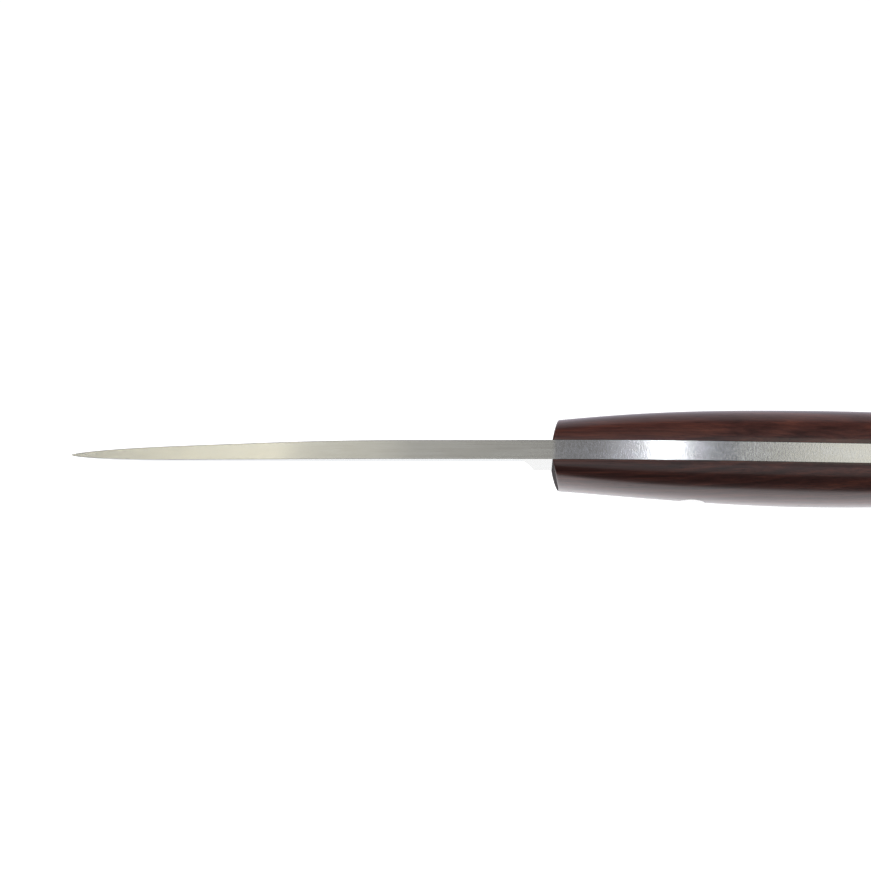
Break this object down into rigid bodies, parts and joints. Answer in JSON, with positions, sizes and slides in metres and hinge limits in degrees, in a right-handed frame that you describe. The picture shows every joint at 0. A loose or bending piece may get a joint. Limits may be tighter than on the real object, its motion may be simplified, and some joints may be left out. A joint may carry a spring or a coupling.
{
  "type": "boning knife",
  "caption": "Fixed-blade boning knife: narrow flat-ground blade with a full tang between two rounded wooden scales held by flush handle bolts.",
  "frame": {"origin": "middle of the grip: halfway along the handle, on the middle plane of the blade, 17 mm below the level of the straight spine", "axes": "+X from the tip to the butt, +Y to the right-hand side of the person holding it, +Z from the edge up to the spine"},
  "size_m": [0.2409, 0.0242, 0.0379],
  "materials": {
    "blade_steel": "satin stainless steel with fine lengthwise lines",
    "scale_wood": "dark red-brown hardwood, polished",
    "cured_adhesive": "dark cured adhesive",
    "bolt_steel": "bright stainless steel, ground flush and polished"
  },
  "bodies": {
    "root": {"blade": "blade_steel", "right_scale": "scale_wood", "left_scale": "scale_wood", "right_bond_film": "cured_adhesive", "left_bond_film": "cured_adhesive", "front_bolt_socket": "bolt_steel", "front_bolt_screw": "bolt_steel", "rear_bolt_socket": "bolt_steel", "rear_bolt_screw": "bolt_steel"}
  },
  "joints": []
}
